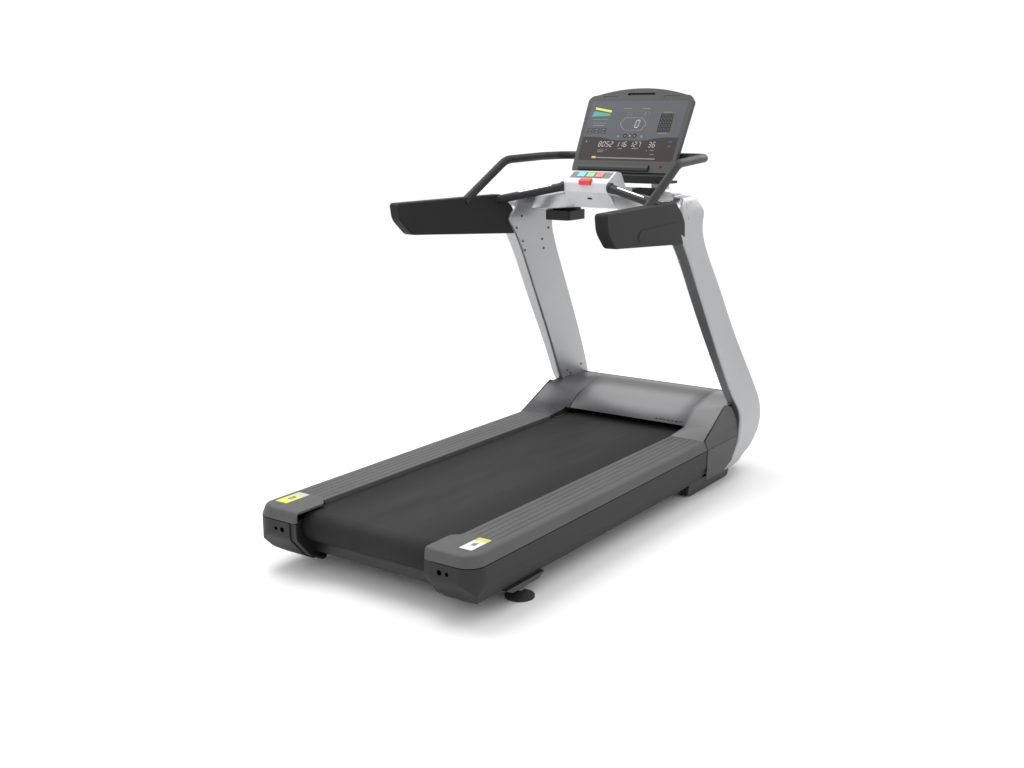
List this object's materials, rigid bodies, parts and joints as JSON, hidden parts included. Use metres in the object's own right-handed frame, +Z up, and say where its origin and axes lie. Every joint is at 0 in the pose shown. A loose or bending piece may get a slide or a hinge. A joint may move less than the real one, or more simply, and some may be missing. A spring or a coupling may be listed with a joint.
{
  "type": "treadmill",
  "caption": "Commercial treadmill with a wide belt, leaning uprights, long armrests, looped handlebar, display console and motorised incline.",
  "frame": {"origin": "on the floor, under the middle of the machine's outline", "axes": "+Z up, +Y forward towards the console end, +X to the runner's right"},
  "size_m": [0.908, 2.0504, 1.5706],
  "materials": {
    "rail_grey": "fine moulded grain, satin",
    "cover_charcoal": "fine moulded grain, matte",
    "hood_graphite": "graphite metallic paint, satin",
    "upright_silver": "silver metallic paint",
    "pod_white": "light silver, smooth",
    "armrest_black": "moulded soft skin, matte",
    "grip_black": "soft sleeve, matte",
    "black_plastic": "fine moulded grain, matte",
    "belt_black": "fine woven grain, matte",
    "deck_board": "waxed fibreboard",
    "frame_black": "black powder coat",
    "steel": "ground",
    "contact_chrome": "polished",
    "screen_glass": "dark printed glass",
    "heat_sink": "cast",
    "rubber_black": "moulded, matte",
    "key_blue": "smooth",
    "key_green": "smooth",
    "key_salmon": "smooth",
    "stop_red": "smooth"
  },
  "bodies": {
    "base": {"armrest_left": "armrest_black", "armrest_right": "armrest_black", "belly_pan": "black_plastic", "console_back": "black_plastic", "console_bezel": "black_plastic", "console_posts": "upright_silver", "console_tray": "black_plastic", "crossbar_arm_left": "upright_silver", "crossbar_arm_right": "upright_silver", "cup_holder_left": "black_plastic", "cup_holder_right": "black_plastic", "deck_board": "deck_board", "deck_cushions": "rubber_black", "display_glass": "screen_glass", "drive_belt": "belt_black", "drive_motor": "frame_black", "end_plates": "black_plastic", "foot_brackets": "frame_black", "front_cover": "hood_graphite", "front_panel_left": "cover_charcoal", "front_panel_right": "cover_charcoal", "handlebar": "grip_black", "hood_centre": "hood_graphite", "hood_shoulder_left": "hood_graphite", "hood_shoulder_right": "hood_graphite", "key_panel": "black_plastic", "lift_actuator": "frame_black", "main_frame": "frame_black", "motor_controller": "heat_sink", "pod_housing": "pod_white", "power_entry": "black_plastic", "pulse_contacts": "contact_chrome", "pulse_grips": "grip_black", "rail_cover_left": "rail_grey", "rail_cover_right": "rail_grey", "rear_cap_left": "rail_grey", "rear_cap_right": "rail_grey", "rear_cross_member": "cover_charcoal", "roller_axles": "steel", "running_belt": "belt_black", "side_cover_left": "cover_charcoal", "side_cover_right": "cover_charcoal", "tension_bolts": "steel", "upright_left": "upright_silver", "upright_right": "upright_silver", "upright_screws": "steel"},
    "rear_roller": {"rear_roller": "steel"},
    "drive_roller": {"drive_roller": "steel"},
    "motor_rotor": {"motor_rotor": "steel"},
    "lift_frame": {"lift_frame": "frame_black"},
    "lift_screw": {"lift_screw": "steel"},
    "lift_wheel_left": {"lift_wheel_left": "rubber_black"},
    "lift_wheel_right": {"lift_wheel_right": "rubber_black"},
    "rear_foot_left": {"rear_foot_left": "rubber_black"},
    "rear_foot_right": {"rear_foot_right": "rubber_black"},
    "stop_button": {"stop_button": "stop_red"},
    "key_fan": {"key_fan": "key_blue"},
    "key_start": {"key_start": "key_green"},
    "key_pause": {"key_pause": "key_salmon"},
    "power_switch": {"power_switch": "black_plastic"}
  },
  "joints": [
    {"name": "drive_roller_spin", "type": "hinge", "parent": "base", "child": "drive_roller", "pos_m": [0, 0.76, 0.156], "axis": [1, 0, 0], "continuous": true},
    {"name": "rear_roller_spin", "type": "hinge", "parent": "base", "child": "rear_roller", "pos_m": [0, -0.928, 0.156], "axis": [1, 0, 0], "continuous": true},
    {"name": "motor_spin", "type": "hinge", "parent": "base", "child": "motor_rotor", "pos_m": [0, 0.905, 0.165], "axis": [1, 0, 0], "continuous": true},
    {"name": "lift_tilt", "type": "hinge", "parent": "base", "child": "lift_frame", "pos_m": [0, 0.792, 0.03], "axis": [1, 0, 0], "range_deg": [0, 30]},
    {"name": "lift_screw_travel", "type": "slide", "parent": "base", "child": "lift_screw", "axis": [0, -1, 0], "range_m": [0, 0.0263]},
    {"name": "lift_wheel_left_spin", "type": "hinge", "parent": "lift_frame", "child": "lift_wheel_left", "pos_m": [-0.374, 0.47, 0.025], "axis": [1, 0, 0], "continuous": true},
    {"name": "lift_wheel_right_spin", "type": "hinge", "parent": "lift_frame", "child": "lift_wheel_right", "pos_m": [0.374, 0.47, 0.025], "axis": [1, 0, 0], "continuous": true},
    {"name": "rear_foot_left_screw", "type": "slide", "parent": "base", "child": "rear_foot_left", "axis": [0, 0, -1], "range_m": [0, 0.015]},
    {"name": "rear_foot_right_screw", "type": "slide", "parent": "base", "child": "rear_foot_right", "axis": [0, 0, -1], "range_m": [0, 0.015]},
    {"name": "stop_press", "type": "slide", "parent": "base", "child": "stop_button", "axis": [0, 1, 0], "range_m": [0, 0.005], "stiffness_N_per_m": 900},
    {"name": "key_fan_press", "type": "slide", "parent": "base", "child": "key_fan", "axis": [0, 0.5039, -0.8638], "range_m": [0, 0.0015], "stiffness_N_per_m": 500},
    {"name": "key_start_press", "type": "slide", "parent": "base", "child": "key_start", "axis": [0, 0.5039, -0.8638], "range_m": [0, 0.0015], "stiffness_N_per_m": 500},
    {"name": "key_pause_press", "type": "slide", "parent": "base", "child": "key_pause", "axis": [0, 0.5039, -0.8638], "range_m": [0, 0.0015], "stiffness_N_per_m": 500},
    {"name": "power_switch_rock", "type": "hinge", "parent": "base", "child": "power_switch", "pos_m": [0.2, 0.997, 0.125], "axis": [-1, 0, 0], "range_deg": [0, 12]}
  ],
  "couplings": [
    {"joint": "rear_roller_spin", "follows": "drive_roller_spin", "ratio": 1},
    {"joint": "motor_spin", "follows": "drive_roller_spin", "ratio": 2.1429},
    {"joint": "lift_screw_travel", "follows": "lift_tilt", "m_per_rad": 0.05}
  ]
}
